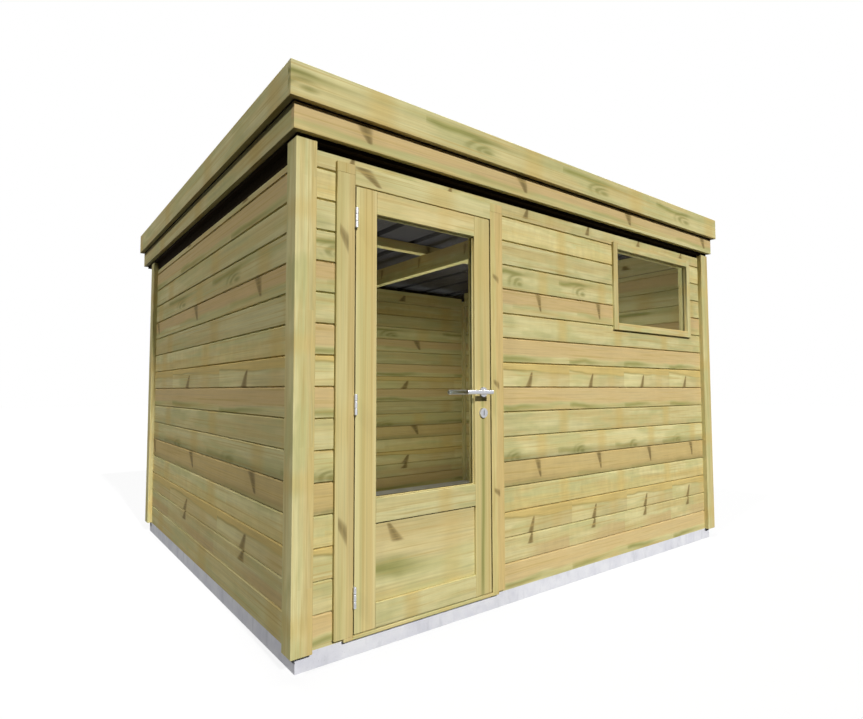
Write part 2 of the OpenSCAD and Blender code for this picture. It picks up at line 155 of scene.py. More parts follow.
def linear(code):
    """An sRGB hex colour as the linear RGBA that shaders take."""
    parts = [int(code[i:i + 2], 16) / 255 for i in (1, 3, 5)]
    return (*[p / 12.92 if p <= 0.04045 else ((p + 0.055) / 1.055) ** 2.4 for p in parts], 1)


def add(tree, kind, *values, named=None, **settings):
    """Adds a node with its settings; a value or link goes to the next socket, or to the one named for it."""
    made = tree.nodes.new("ShaderNode" + kind)
    for key, value in settings.items():
        setattr(made, key, value)
    for key, value in [*enumerate(values), *(named or {}).items()]:
        value = value.outputs[0] if isinstance(value, bpy.types.Node) else value
        if isinstance(value, bpy.types.NodeSocket):
            tree.links.new(value, made.inputs[key])
        elif value is not None:
            made.inputs[key].default_value = value
    return made


def new_material(name):
    """A material with an empty tree, and that tree."""
    material = bpy.data.materials.new(name)
    material.use_nodes = True
    material.node_tree.nodes.clear()
    return material, material.node_tree


# Treated pine, layer by layer. t is the tree and b holds what the material knows of the board at a point
SOFT = {"interpolation_type": "SMOOTHSTEP"}


def drawn(t, b, length, breadth, detail, lift=0.0):
    """Noise drawn out along the grain, with a length along the board and a breadth across it."""
    stretched = add(t, "VectorMath", b.grain, (1 / length, 1 / breadth, 1 / breadth), operation="MULTIPLY")
    board = add(t, "Math", b.seed, lift, operation="ADD")
    return add(t, "TexNoise", stretched, board, 1.0, detail, 0.55, noise_dimensions="4D")


def board_values(t):
    """Places along and across the grain, the board's values, and the noises that several layers share."""
    grain = add(t, "Attribute", attribute_name="grain").outputs["Vector"]
    along, across, _ = add(t, "SeparateXYZ", grain).outputs
    b = SimpleNamespace(grain=grain, across=across)
    for name, keys in CARRIED.items():
        read = add(t, "SeparateXYZ", add(t, "Attribute", attribute_name=name).outputs["Vector"])
        for key, value in zip(keys, read.outputs):
            setattr(b, key, value)
    b.height = add(t, "Math", across, b.width, operation="DIVIDE")
    b.from_knot = add(t, "Math", along, 0.6 * KNOT_SPACING, -0.4 * KNOT_SPACING, operation="WRAP")
    b.wave = drawn(t, b, 300 * MM, 200 * MM, 2.0, 31.0)
    b.patch = drawn(t, b, 260 * MM, 90 * MM, 2.0, 57.0)
    b.streak = drawn(t, b, 500 * MM, 11 * MM, 3.0, 83.0)
    b.fibre = drawn(t, b, 80 * MM, 3.5 * MM, 2.0, 99.0)
    b.swing = add(t, "Math", b.wave, 0.5, -0.25, operation="MULTIPLY_ADD")
    b.level = add(t, "Math", b.height, b.swing, operation="ADD")
    return b


def past_level(t, level, edge, amount):
    """How far a point lies above a level on the board or, for a negative amount, below it."""
    past = add(t, "Math", level, edge, operation="SUBTRACT")
    return add(t, "Math", past, add(t, "Math", amount, operation="SIGN"), operation="MULTIPLY")


def ground(t, b):
    """Ground colour: pale, warmer in bands, greener in patches, with an orange flush between the knots."""
    warm = add(t, "MapRange", drawn(t, b, 1100 * MM, 60 * MM, 2.0), 0.4, 0.66, 0.0, 0.8, **SOFT)
    tint = add(t, "MixRGB", warm, linear(PINE_PALE), linear(PINE_WARM))
    cool = add(t, "MapRange", b.patch, 0.42, 0.64, 0.0, 0.9, **SOFT)
    tint = add(t, "MixRGB", cool, tint, linear(PINE_COOL))
    flush = add(t, "Math", add(t, "Math", b.from_knot, -198 * MM, operation="ADD"), operation="ABSOLUTE")
    flush = add(t, "MapRange", flush, 10 * MM, 68 * MM, 0.5, 0.0, **SOFT)
    bare = add(t, "Math", 1.0, add(t, "Math", b.pink, operation="ABSOLUTE"), operation="SUBTRACT")
    return add(t, "MixRGB", add(t, "Math", flush, bare, operation="MULTIPLY"), tint, linear(PINE_FLUSH))


def heartwood(t, b, tint):
    """Pink blush above its level on the board or, for a negative amount, below it and past the knot."""
    above = past_level(t, b.level, b.pink_at, b.pink)
    blush = add(t, "MapRange", above, -0.06, 0.1, 0.0, 1.0, **SOFT)
    past = add(t, "MapRange", b.from_knot, -60 * MM, 120 * MM, 0.25, 1.0, **SOFT)
    past = add(t, "Math", past, add(t, "Math", b.pink, operation="SIGN"), operation="MAXIMUM")
    blush = add(t, "Math", blush, past, operation="MULTIPLY")
    amount = add(t, "Math", b.pink, operation="ABSOLUTE")
    blush = add(t, "Math", blush, amount, operation="MULTIPLY")
    uneven = add(t, "Math", b.patch, 0.6, 0.7, operation="MULTIPLY_ADD")
    blush = add(t, "Math", blush, uneven, operation="MULTIPLY", use_clamp=True)
    return add(t, "MixRGB", blush, tint, linear(PINE_BLUSH))


def sapwood(t, b, tint):
    """Yellow cap above or below its level, which falls along the board, with a darker line where it ends."""
    tilted = add(t, "Math", b.from_knot, 0.32, b.level, operation="MULTIPLY_ADD")
    above = past_level(t, tilted, b.yellow_at, b.yellow)
    cap = add(t, "MapRange", above, -0.03, 0.06, 0.0, 1.0, **SOFT)
    cap = add(t, "Math", cap, add(t, "Math", b.yellow, operation="ABSOLUTE"), operation="MULTIPLY")
    tint = add(t, "MixRGB", cap, tint, linear(PINE_CAP))
    rim = add(t, "MapRange", add(t, "Math", above, operation="ABSOLUTE"), 0.0, 0.08, 0.75, 0.0, **SOFT)
    fade = add(t, "MapRange", b.from_knot, -80 * MM, 160 * MM, 1.0, 0.35)
    rim = add(t, "Math", rim, fade, operation="MULTIPLY")
    rim = add(t, "Math", rim, add(t, "Math", b.yellow, 0.0, operation="MAXIMUM"), operation="MULTIPLY")
    return add(t, "MixRGB", rim, tint, linear(PINE_CAP_LINE))


def treatment_streak(t, b, tint):
    """Green streak left by the treatment: it sets in before each knot and fades after it."""
    near = add(t, "Math", add(t, "Math", b.level, b.green_at, operation="SUBTRACT"), operation="ABSOLUTE")
    trace = add(t, "MapRange", near, 0.0, 0.2, 1.0, 0.0, **SOFT)
    run = add(t, "MapRange", b.from_knot, -265 * MM, -190 * MM, 0.2, 1.0, **SOFT)
    fade = add(t, "MapRange", b.from_knot, -90 * MM, 190 * MM, 1.0, 0.2, **SOFT)
    for share in (run, fade, b.green):
        trace = add(t, "Math", trace, share, operation="MULTIPLY")
    return add(t, "MixRGB", trace, tint, linear(PINE_GREEN))


def spike_knots(t, b, tint):
    """Soft dark wedges across the grain, thick at one end and leaning, in a brown halo."""
    rise = add(t, "Math", b.height, b.knot_at, operation="SUBTRACT")
    rise = add(t, "Math", rise, b.knot_half, operation="DIVIDE")
    thick = add(t, "Math", rise, b.taper, operation="MULTIPLY")
    thick = add(t, "Math", thick, 10 * MM, 18 * MM, operation="MULTIPLY_ADD")
    beside = add(t, "Math", b.across, b.lean, b.from_knot, operation="MULTIPLY_ADD")
    beside = add(t, "Math", b.swing, 60 * MM, beside, operation="MULTIPLY_ADD")
    beside = add(t, "Math", beside, operation="ABSOLUTE")
    share = add(t, "Math", beside, thick, operation="DIVIDE")
    reach = add(t, "MapRange", add(t, "Math", rise, operation="ABSOLUTE"), 0.8, 1.1, 1.0, 0.0, **SOFT)
    reach = add(t, "Math", reach, b.knots, operation="MULTIPLY")
    halo = add(t, "MapRange", beside, 0.0, 70 * MM, 0.35, 0.0)
    spike = add(t, "MapRange", share, 0.5, 1.15, 0.9, 0.0, **SOFT)
    heart = add(t, "MapRange", share, 0.0, 0.7, 0.5, 0.0, **SOFT)
    for depth, colour in ((halo, PINE_HALO), (spike, PINE_KNOT), (heart, PINE_KNOT_HEART)):
        tint = add(t, "MixRGB", add(t, "Math", depth, reach, operation="MULTIPLY"), tint, linear(colour))
    return tint


def curls(t, b, tint):
    """Green arcs of swirled grain over a hidden knot, drawn out to one side of it."""
    rise = add(t, "Math", b.height, b.knot_at, operation="SUBTRACT")
    rise = add(t, "Math", rise, b.width, operation="MULTIPLY")
    off = add(t, "CombineXYZ", add(t, "Math", b.from_knot, 0.55, operation="MULTIPLY"), rise)
    radius = add(t, "VectorMath", off, operation="LENGTH").outputs["Value"]
    stray = add(t, "Math", add(t, "Math", b.patch, 14.0, operation="MULTIPLY"), b.wave, operation="ADD")
    turn = add(t, "Math", radius, math.tau / (26 * MM), stray, operation="MULTIPLY_ADD")
    swirl = add(t, "MapRange", add(t, "Math", turn, operation="SINE"), -1.0, 1.0, 0.15, 0.7, **SOFT)
    aside = add(t, "Math", add(t, "Math", b.from_knot, 38 * MM, operation="ADD"), operation="ABSOLUTE")
    aside = add(t, "MapRange", aside, 20 * MM, 85 * MM, 1.0, 0.0, **SOFT)
    over = add(t, "MapRange", rise, -28 * MM, 6 * MM, 0.1, 1.0, **SOFT)
    spread = add(t, "Math", b.knot_half, b.width, operation="MULTIPLY")
    spread = add(t, "Math", radius, spread, operation="DIVIDE")
    ebb = add(t, "MapRange", spread, 0.6, 1.2, 1.0, 0.0, **SOFT)
    for share in (aside, over, ebb):
        swirl = add(t, "Math", swirl, share, operation="MULTIPLY")
    core = add(t, "MapRange", radius, 2 * MM, 22 * MM, 0.75, 0.0, **SOFT)
    swirl = add(t, "Math", swirl, core, operation="MAXIMUM")
    swirl = add(t, "Math", swirl, b.curl, operation="MULTIPLY")
    return add(t, "MixRGB", swirl, tint, linear(PINE_CURL))


def growth_lines(t, b, tint):
    """Summer growth, drawn as brown lines along the grain."""
    line = add(t, "MapRange", b.streak, 0.5, 0.7, 0.0, 0.7, **SOFT)
    return add(t, "MixRGB", line, tint, linear(PINE_LINE))


def light_and_dark(t, b, tint):
    """Ripple across the grain, streaks and fibres along it, and the tone of the board and of its parts."""
    quilt = add(t, "Math", drawn(t, b, 34 * MM, 90 * MM, 3.0, 17.0), 0.34, -0.17, operation="MULTIPLY_ADD")
    tone = add(t, "Math", b.tone, 1.0, operation="ADD")
    tone = add(t, "Math", quilt, b.ripple, tone, operation="MULTIPLY_ADD")
    foot = add(t, "MapRange", b.height, -0.5, -0.05, -1.0, 0.0, **SOFT)
    tone = add(t, "Math", foot, b.foot, tone, operation="MULTIPLY_ADD")
    early = add(t, "MapRange", b.from_knot, -20 * MM, 100 * MM, 1.0, 0.0, **SOFT)
    tone = add(t, "Math", early, b.early, tone, operation="MULTIPLY_ADD")
    own = add(t, "TexWhiteNoise", None, b.seed, noise_dimensions="1D").outputs["Value"]
    for noise, swing in ((b.streak, 0.7), (b.fibre, 0.2), (b.patch, 0.3), (own, 0.1)):
        shift = add(t, "Math", noise, swing, -swing / 2, operation="MULTIPLY_ADD")
        tone = add(t, "Math", shift, tone, operation="ADD")
    return add(t, "VectorMath", tint, add(t, "CombineXYZ", tone, tone, tone), operation="MULTIPLY")


def pressure_treated_pine():
    """Planed pine, pressure treated: pale yellow green with soft pink and green bands along the grain,
    dark spike knots and curls, and a dull, faintly fibrous face."""
    material, t = new_material("planed_pressure_treated_pine")
    b = board_values(t)
    tint = ground(t, b)
    for layer in (heartwood, sapwood, treatment_streak, spike_knots, curls, growth_lines, light_and_dark):
        tint = layer(t, b, tint)
    raised = add(t, "Math", add(t, "Math", b.streak, 0.5, operation="MULTIPLY"), b.fibre, operation="ADD")
    bump = add(t, "Bump", 0.3, 0.6 * MM, named={"Height": raised})
    dull = add(t, "MapRange", b.streak, 0.3, 0.7, 0.55, 0.75)
    add(t, "OutputMaterial", add(t, "BsdfPrincipled", tint, named={
        "Roughness": dull, "IOR": 1.48, "Specular IOR Level": 0.06, "Normal": bump}))
    return material


# Other materials


def sawn_pine_painted_shade():
    """Rough-sawn pine with painted shade: a near-black colour that stands in for the shade under the fascias,
    with saw marks across the grain and no shine.
    """
    material, t = new_material("rough_sawn_pine_painted_shade")
    spot = add(t, "TexCoord").outputs["Object"]
    saw = add(t, "VectorMath", spot, (1 / (330 * MM), 1 / (330 * MM), 1 / (6 * MM)), operation="MULTIPLY")
    fibre = add(t, "TexNoise", saw, None, 1.0, 3.0)
    # Painted shade: near-black colours that stand in for the shade under the fascias
    tint = add(t, "MixRGB", fibre, linear("#140F06"), linear("#221A0D"))
    bump = add(t, "Bump", 0.6, 1.5 * MM, named={"Height": fibre})
    add(t, "OutputMaterial", add(t, "BsdfPrincipled", tint, named={
        "Roughness": 0.95, "Specular IOR Level": 0.03, "Normal": bump}))
    return material


def cast_concrete():
    """Concrete cast against boards: pale grey, with upright pour streaks, cloudy patches and pinholes."""
    material, t = new_material("cast_concrete")
    spot = add(t, "TexCoord").outputs["Object"]
    upright = add(t, "VectorMath", spot, (1 / (53 * MM), 1 / (53 * MM), 1 / (200 * MM)), operation="MULTIPLY")
    pour = add(t, "TexNoise", upright, None, 1.0, 5.0, 0.6)
    cloud = add(t, "TexNoise", spot, None, 1 / (140 * MM), 5.0, 0.65)
    tint = add(t, "MixRGB", add(t, "MapRange", cloud, 0.35, 0.65), linear("#CFCFD6"), linear("#DFDFE2"))
    tint = add(t, "MixRGB", add(t, "MapRange", pour, 0.55, 0.72, 0.0, 0.7), tint, linear("#BFC0C5"))
    pin = add(t, "TexVoronoi", spot, None, 1 / (14 * MM))
    hole = add(t, "MapRange", pin.outputs["Distance"], 0.06, 0.14, 0.35, 0.0)
    tint = add(t, "MixRGB", hole, tint, linear("#8B8B90"))
    grit = add(t, "TexNoise", spot, None, 1 / (3 * MM), 2.0)
    raised = add(t, "Math", grit, add(t, "Math", hole, 2.0, operation="MULTIPLY"), operation="SUBTRACT")
    bump = add(t, "Bump", 0.35, 0.8 * MM, named={"Height": raised})
    add(t, "OutputMaterial", add(t, "BsdfPrincipled", tint, named={"Roughness": 0.86, "Normal": bump}))
    return material


def coated_steel():
    """Coil-coated roof steel: dark grey satin paint with a fine orange peel, a little settled dust, and
    painted shade that darkens the rib hollows.
    """
    material, t = new_material("coil_coated_steel")
    spot = add(t, "TexCoord").outputs["Object"]
    dust = add(t, "TexNoise", spot, None, 1 / (140 * MM), 4.0, 0.6)
    tint = add(t, "MixRGB", add(t, "MapRange", dust, 0.4, 0.75), linear("#302E33"), linear("#38363A"))
    # Painted shade: the colour is darkened towards near black where ambient occlusion finds the rib hollows
    # closed in
    painted_rib_shade = add(t, "AmbientOcclusion", None, 70 * MM, samples=6).outputs["AO"]
    tint = add(t, "MixRGB", add(t, "MapRange", painted_rib_shade, 0.35, 0.95, 0.85, 0.0), tint, linear("#0A090A"))
    peel = add(t, "TexNoise", spot, None, 1 / (4 * MM), 2.0)
    bump = add(t, "Bump", 0.08, 0.3 * MM, named={"Height": peel})
    dull = add(t, "MapRange", dust, 0.3, 0.7, 0.5, 0.66)
    add(t, "OutputMaterial", add(t, "BsdfPrincipled", tint, named={
        "Roughness": dull, "Specular IOR Level": 0.25, "Normal": bump}))
    return material


def zinc_plate():
    """Zinc-plated steel: bright silver with a faint spangle and soft reflections."""
    material, t = new_material("zinc_plated_steel")
    spot = add(t, "TexCoord").outputs["Object"]
    spangle = add(t, "TexVoronoi", spot, None, 1 / (5 * MM))
    tint = add(t, "MixRGB", spangle.outputs["Color"], linear("#B4B6BB"), linear("#D2D4D8"))
    dull = add(t, "MapRange", spangle.outputs["Distance"], 0.0, 0.8, 0.3, 0.42)
    add(t, "OutputMaterial", add(t, "BsdfPrincipled", tint, named={"Metallic": 1.0, "Roughness": dull}))
    return material


def satin_aluminium():
    """Aluminium, brushed and anodised: even satin silver with fine turning lines."""
    material, t = new_material("satin_anodised_aluminium")
    spot = add(t, "TexCoord").outputs["Object"]
    fine = add(t, "VectorMath", spot, (1 / (16 * MM), 1 / (1 * MM), 1 / (1 * MM)), operation="MULTIPLY")
    brush = add(t, "TexNoise", fine, None, 1.0, 2.0)
    tint = add(t, "MixRGB", brush, linear("#B2B4BA"), linear("#C8C9CE"))
    dull = add(t, "MapRange", brush, 0.3, 0.7, 0.26, 0.36)
    add(t, "OutputMaterial", add(t, "BsdfPrincipled", tint, named={"Metallic": 1.0, "Roughness": dull}))
    return material


def float_glass():
    """Float glass, coated: smooth, nearly colourless, it hardly mirrors and keeps out the lamps outside."""
    material, t = new_material("coated_float_glass")
    pane = add(t, "BsdfPrincipled", linear("#F7FAF8"), named={
        "Roughness": 0.0, "IOR": 1.5, "Transmission Weight": 1.0})
    clear = add(t, "BsdfTransparent", linear("#F4F7F4"))
    lamp = add(t, "MapRange", add(t, "LightPath").outputs["Is Shadow Ray"], 0.0, 1.0, 0.01, 1.0)
    add(t, "OutputMaterial", add(t, "MixShader", lamp, clear, pane))
    return material


pine = pressure_treated_pine()
shade_painted_pine = sawn_pine_painted_shade()
concrete = cast_concrete()
roof_paint = coated_steel()
zinc = zinc_plate()
aluminium = satin_aluminium()
glass = float_glass()

# Meshes


def dress(name, points, faces, material, body, slot, *replaced, values=None):
    """Makes a piece from its mesh, with its material and body, and hides the CAD nodes that it stands for.
    The slot is not used.
    """
    mesh = bpy.data.meshes.new(name)
    mesh.from_pydata(points, [], faces)
    for key, vectors in (values or {}).items():
        layer = mesh.attributes.new(key, "FLOAT_VECTOR", "POINT")
        layer.data.foreach_set("vector", [x for v in vectors for x in v])
    work = bmesh.new()
    work.from_mesh(mesh)
    bmesh.ops.recalc_face_normals(work, faces=work.faces)
    work.to_mesh(mesh)
    work.free()
    mesh.polygons.foreach_set("use_smooth", [True] * len(mesh.polygons))
    mesh.set_sharp_from_angle(angle=math.radians(40))
    mesh.materials.append(material)
    piece = bpy.data.objects.new(name, mesh)
    bpy.context.scene.collection.objects.link(piece)
    piece.modifiers.new("even_faces", "WEIGHTED_NORMAL").keep_sharp = True
    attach(piece, body)
    if replaced:
        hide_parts(*replaced)
    return piece


def axes(along, face):
    """Numbers of the axes along a member, across its face and through it."""
    a, d = AXES.index(along), AXES.index(face)
    return a, 3 - a - d, d


def rounded_corner(x, y, radius, start):
    """Quarter round about a centre, from a starting angle in degrees."""
    turns = [math.radians(start + 90 * step / ARRIS_STEPS) for step in range(ARRIS_STEPS + 1)]
    return [(x + radius * math.cos(turn), y + radius * math.sin(turn)) for turn in turns]


def planed(width, depth, arris=ARRIS):
    """Section of planed timber with rounded edges, as (across, deep) points."""
    x, y = width / 2 - arris, depth / 2 - arris
    corners = ((x, y, 0), (-x, y, 90), (-x, -y, 180), (x, -y, 270))
    return [point for cx, cy, start in corners for point in rounded_corner(cx, cy, arris, start)]


def board_edge(side, half, face, joined):
    """Edge of a wall board from outer to inner face: a V and a narrow slot where it meets another board."""
    if not joined:
        return [(side * half, -face), (side * half, face)]
    lip, slot, deep = half - V_JOINT, half - SLOT_W / 2, face - V_JOINT
    outer = [(lip, -face), (slot, -deep), (slot, SLOT_D - deep), (half, SLOT_D - deep)]
    return [(side * c, d) for c, d in outer + [(c, -d) for c, d in reversed(outer)]]


def jointed(width, depth, below, above):
    """Section of a wall board, which may meet another board below and above."""
    lower = board_edge(-1, width / 2, depth / 2, below)
    upper = board_edge(1, width / 2, depth / 2, above)
    return lower + upper[::-1]


def lipped(width, depth, lip, lip_depth, side):
    """Section of a jamb whose face laps over the boards on one side."""
    x, y = width / 2 - ARRIS, ARRIS - depth / 2
    points = rounded_corner(x, y, ARRIS, 270)[::-1] + rounded_corner(-x, y, ARRIS, 180)[::-1]
    back, inner = lip_depth - depth / 2, width / 2 - lip
    points += [(-width / 2, back), (-inner, back), (-inner, depth / 2), (width / 2, depth / 2)]
    return points if side < 0 else [(-c, d) for c, d in points]


def swept(low, high, along, face, section, ease):
    """Fills a box with a section swept along one axis, its ends eased: points, faces, and each point's place
    along, across and through the member."""
    a, c, d = axes(along, face)
    size = [high[i] - low[i] for i in range(3)]
    middle = [(high[i] + low[i]) / 2 for i in range(3)]
    rings = [(low[a] + ease, 0), (high[a] - ease, 0)]
    if ease:
        rings = [(low[a], ease), *rings, (high[a], ease)]
    points, places, count = [], [], len(section)
    for at, inset in rings:
        for across, deep in section:
            point = [0, 0, 0]
            point[a] = at
            point[c] = middle[c] + across * (1 - 2 * inset / size[c])
            point[d] = middle[d] + deep * (1 - 2 * inset / size[d])
            points.append(point)
            places.append((at, across, deep))
    faces, last = [], len(points) - count
    for base in range(0, last, count):
        for i in range(count):
            j = (i + 1) % count
            faces.append((base + i, base + j, base + count + j, base + count + i))
    faces += [tuple(range(count)), tuple(range(last, last + count))]
    return points, faces, places


class Members:
    """Gathers the parts of one piece."""

    def __init__(self):
        self.points, self.faces = [], []

    def join(self, points, faces):
        """Adds a part's points and the faces between them."""
        first = len(self.points)
        self.points += points
        self.faces += [tuple(first + i for i in face) for face in faces]


class Timber(Members):
    """Gathers the members of one timber piece, with the values that draw each member's grain."""

    def __init__(self):
        super().__init__()
        self.values = {"grain": [], **{name: [] for name in CARRIED}}

    def lay(self, low, high, along, face, kind, section=None, first_knot=0.0, stretch=1.0, shift=0.0,
            seed=None, ease=END_EASE):
        """Adds a member that fills a box: its grain runs along one axis and its face looks along another.
        The first knot lies at a place along it, the figure may be stretched, and shift moves it across."""
        _, c, d = axes(along, face)
        width, depth = high[c] - low[c], high[d] - low[d]
        points, faces, places = swept(low, high, along, face, section or planed(width, depth), ease)
        self.join(points, faces)
        seed = chance.uniform(0, 50) if seed is None else seed
        values = {**CLEAR, **KINDS[kind], "width": width + 2 * abs(shift), "seed": seed}
        for at, across, deep in places:
            self.values["grain"].append(((at - first_knot) / stretch, across + shift, deep))
        for name, keys in CARRIED.items():
            self.values[name] += [[values[key] for key in keys]] * len(places)

    def piece(self, name, body, slot, *replaced):
        """Makes the piece that rides on a body."""
        return dress(name, self.points, self.faces, pine, body, slot, *replaced, values=self.values)


class Metal(Members):
    """Gathers the turned and flat parts of one metal piece."""

    def turn(self, profile, origin, axis, steps):
        """Turns (along, radius) points about an axis through origin; a radius of 0 closes the end."""
        a = AXES.index(axis)
        b, c = (a + 1) % 3, (a + 2) % 3
        points, faces, rings = [], [], []
        for along, radius in profile:
            ring = []
            for step in range(steps if radius else 1):
                point = list(origin)
                point[a] += along
                point[b] += radius * math.cos(math.tau * step / steps)
                point[c] += radius * math.sin(math.tau * step / steps)
                ring.append(len(points))
                points.append(point)
            rings.append(ring)
        for one, two in zip(rings, rings[1:]):
            for i in range(steps):
                j = (i + 1) % steps
                quad = (one[i % len(one)], one[j % len(one)], two[j % len(two)], two[i % len(two)])
                faces.append(tuple(dict.fromkeys(quad)))
        self.join(points, faces)

    def plate(self, low, high, along, face, arris):
        """Adds a flat bar with eased edges."""
        _, c, d = axes(along, face)
        section = planed(high[c] - low[c], high[d] - low[d], arris)
        points, faces, _ = swept(low, high, along, face, section, END_EASE)
        self.join(points, faces)

    def piece(self, name, material, body, slot, *replaced):
        """Makes the piece that rides on a body."""
        return dress(name, self.points, self.faces, material, body, slot, *replaced)


def rounded_bar(length, radius, ease, steps=6):
    """Profile of a round bar with rounded ends."""
    arc = [math.radians(90 * i / steps) for i in range(steps + 1)]
    start = [(ease * (1 - math.sin(a)), radius - ease * (1 - math.cos(a))) for a in reversed(arc)]
    return [(0, 0), *start, *[(length - z, r) for z, r in reversed(start)], (length, 0)]


# Boards of the walls


def lay_course(wall, course, box, along, face, foot, top, **look):
    """One board of a wall between two sides, cut to the foot and top that it finds there."""
    low, high = box
    z0 = foot_z + course * BOARD_COVER
    z1 = z0 + BOARD_COVER
    below, above = z0 > foot + V_JOINT, z1 < top - V_JOINT
    low.z, high.z = max(z0, foot), min(z1, top)
    d = AXES.index(face)
    section = jointed(high.z - low.z, high[d] - low[d], below, above)
    shift = (low.z + high.z - z0 - z1) / 2
    wall.lay(low, high, along, face, section=section, shift=shift, ease=0, **look)


def board_wall(wall, box, along, face, gaps=(), phase=0.0, stretch=1.0, swaps=None):
    """Boards a wall in courses over a box; a gap is an opening: two places along the wall and two heights."""
    low, high = box
    a = AXES.index(along)
    for course in range(math.ceil((high.z - low.z - LEAST_BOARD) / BOARD_COVER)):
        kind, knot = COURSES[course % len(COURSES)]
        look = dict(kind=(swaps or {}).get(course, kind), first_knot=knot * stretch + phase, stretch=stretch,
                    seed=chance.uniform(0, 50))
        z0 = foot_z + course * BOARD_COVER
        z1 = min(z0 + BOARD_COVER, high.z)
        ends = [end for x0, x1, g0, g1 in gaps if g0 < z1 and g1 > z0 for end in (x0, x1)]
        cuts = sorted({low[a], high[a], *ends})
        for start, end in zip(cuts, cuts[1:]):
            foot, top = low.z, high.z
            for x0, x1, g0, g1 in gaps:
                if x0 <= start and end <= x1:
                    if g0 <= z0:
                        foot = g1
                    else:
                        top = g0
            if min(z1, top) - max(z0, foot) > LEAST_BOARD:
                board_low, board_high = low.copy(), high.copy()
                board_low[a], board_high[a] = start, end
                lay_course(wall, course, (board_low, board_high), along, face, foot, top, **look)


window_low, window_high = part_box("window_frame")
over_low, over_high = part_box("front_wall_over_door")
door_gap = (over_low.x, over_high.x, foot_z, over_low.z)
window_gap = (window_low.x, window_high.x, window_low.z, window_high.z)
front = Timber()
front_box = (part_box("front_wall_left")[0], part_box("front_wall_right")[1])
board_wall(front, front_box, "x", "y", (door_gap, window_gap))
front.piece("front_boards", "shed", "timber", "front_wall_left", "front_wall_over_door", "front_wall_middle",
            "front_wall_under_window", "front_wall_over_window", "front_wall_right")

# The other walls come from slower-grown logs, whose knots lie twice as far apart
for name, along, face, phase, stretch, swaps in (
        ("left_wall", "y", "x", -1.405, -2.0, SIDE_COURSES),
        ("right_wall", "y", "x", 0.2, 2.0, SIDE_COURSES),
        ("back_wall", "x", "y", 1.424, 2.0, None)):
    wall = Timber()
    board_wall(wall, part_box(name), along, face, phase=phase, stretch=stretch, swaps=swaps)
    wall.piece(name.replace("wall", "boards"), "shed", "timber", name)

# Linings over the rims inside the side walls, from the boarding up to the roof sheet
LINING_T = 6 * MM
LINING_ARRIS = 1 * MM
RIM_IN = 45 * MM
LINING_SHORT = 65 * MM
LINING_KNOT = -0.815
FULL_COURSES = 16
lining = Timber()
lining_foot, lining_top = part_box("left_wall")[1].z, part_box("roof_sheet")[0].z
lining_joint = foot_z + FULL_COURSES * BOARD_COVER
for side, x in ((1, left_x + RIM_IN), (-1, right_x - RIM_IN)):
    x0, x1 = sorted((x, x + side * LINING_T))
    for z0, z1, kind in ((lining_foot, lining_joint, "pale"), (lining_joint, lining_top, "rippled")):
        lining.lay((x0, front_y + LINING_SHORT, z0), (x1, back_y - LINING_SHORT, z1), "y", "x", kind,
                   planed(z1 - z0, LINING_T, LINING_ARRIS), first_knot=LINING_KNOT, stretch=2.0)
lining.piece("side_linings", "shed", "timber")

# Corner posts
POST_ARRIS = 4 * MM
for name in ("post_front_left", "post_front_right", "post_back_left", "post_back_right"):
    low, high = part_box(name)
    post = Timber()
    post.lay(low, high, "z", "y", "straight", planed(high.x - low.x, high.y - low.y, POST_ARRIS))
    post.piece(name + "_timber", "shed", "timber", name)

# Door frame: jambs and head each in one piece with the lip that laps over the boards
LIP_D = front_y - leaf_face_y
LIP_LIFT = 15 * MM
STOP_W = 12 * MM
surround = Timber()
frame_top = over_low.z
for name, kind, side, knot, stretch in (
        ("door_jamb_hinge", "jamb", -1, 0.540, 2.23),
        ("door_jamb_lock", "lock_jamb", 1, 0.602, 1.0)):
    low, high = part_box(name)
    width, depth = high.x - low.x, high.y - low.y
    lip = width / 2
    body_x = (low.x + lip, high.x) if side < 0 else (low.x, high.x - lip)
    lip_z = low.z + LIP_LIFT
    look = dict(along="z", face="y", kind=kind, first_knot=knot, stretch=stretch, seed=chance.uniform(0, 50))
    surround.lay((low.x, low.y, lip_z), (high.x, high.y, frame_top),
                 section=lipped(width, depth, lip, LIP_D, side), **look)
    surround.lay((low.x, low.y, frame_top), (high.x, front_y, high.z), **look)
    surround.lay((body_x[0], low.y, low.z), (body_x[1], high.y, lip_z), shift=-side * lip / 2, **look)
low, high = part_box("door_head")
surround.lay(low, (high.x, front_y, high.z), "x", "y", "head", first_knot=-1.354, stretch=2.0)
surround.lay((low.x, front_y, low.z), (high.x, high.y, frame_top), "x", "y", "straight")
surround.lay(*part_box("door_sill"), "x", "z", "straight")
for name, along, across in (("door_stops_sides", "z", 0), ("door_stops_ends", "x", 2)):
    low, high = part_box(name)
    near, far = high.copy(), low.copy()
    near[across], far[across] = low[across] + STOP_W, high[across] - STOP_W
    surround.lay(low, near, along, "y", "straight")
    surround.lay(far, high, along, "y", "straight")
surround.piece("door_surround", "shed", "door_timber", "door_jamb_hinge", "door_jamb_lock", "door_head",
               "door_sill", "door_stops_sides", "door_stops_ends")

# Glazing beads: thin strips that hold a pane on both of its faces
BEAD_W = 5 * MM
BEAD_D = 8 * MM
BEAD_ARRIS = 2 * MM


def glazing_beads(joinery, pane):
    """Beads around a pane, uprights through and the others between them."""
    low, high = pane
    section = planed(BEAD_W, BEAD_D, BEAD_ARRIS)
    for y0, y1 in ((low.y - BEAD_D, low.y), (high.y, high.y + BEAD_D)):
        for x0, x1 in ((low.x, low.x + BEAD_W), (high.x - BEAD_W, high.x)):
            joinery.lay((x0, y0, low.z), (x1, y1, high.z), "z", "y", "straight", section)
        for z0, z1 in ((low.z, low.z + BEAD_W), (high.z - BEAD_W, high.z)):
            joinery.lay((low.x + BEAD_W, y0, z0), (high.x - BEAD_W, y1, z1), "x", "y", "straight", section)


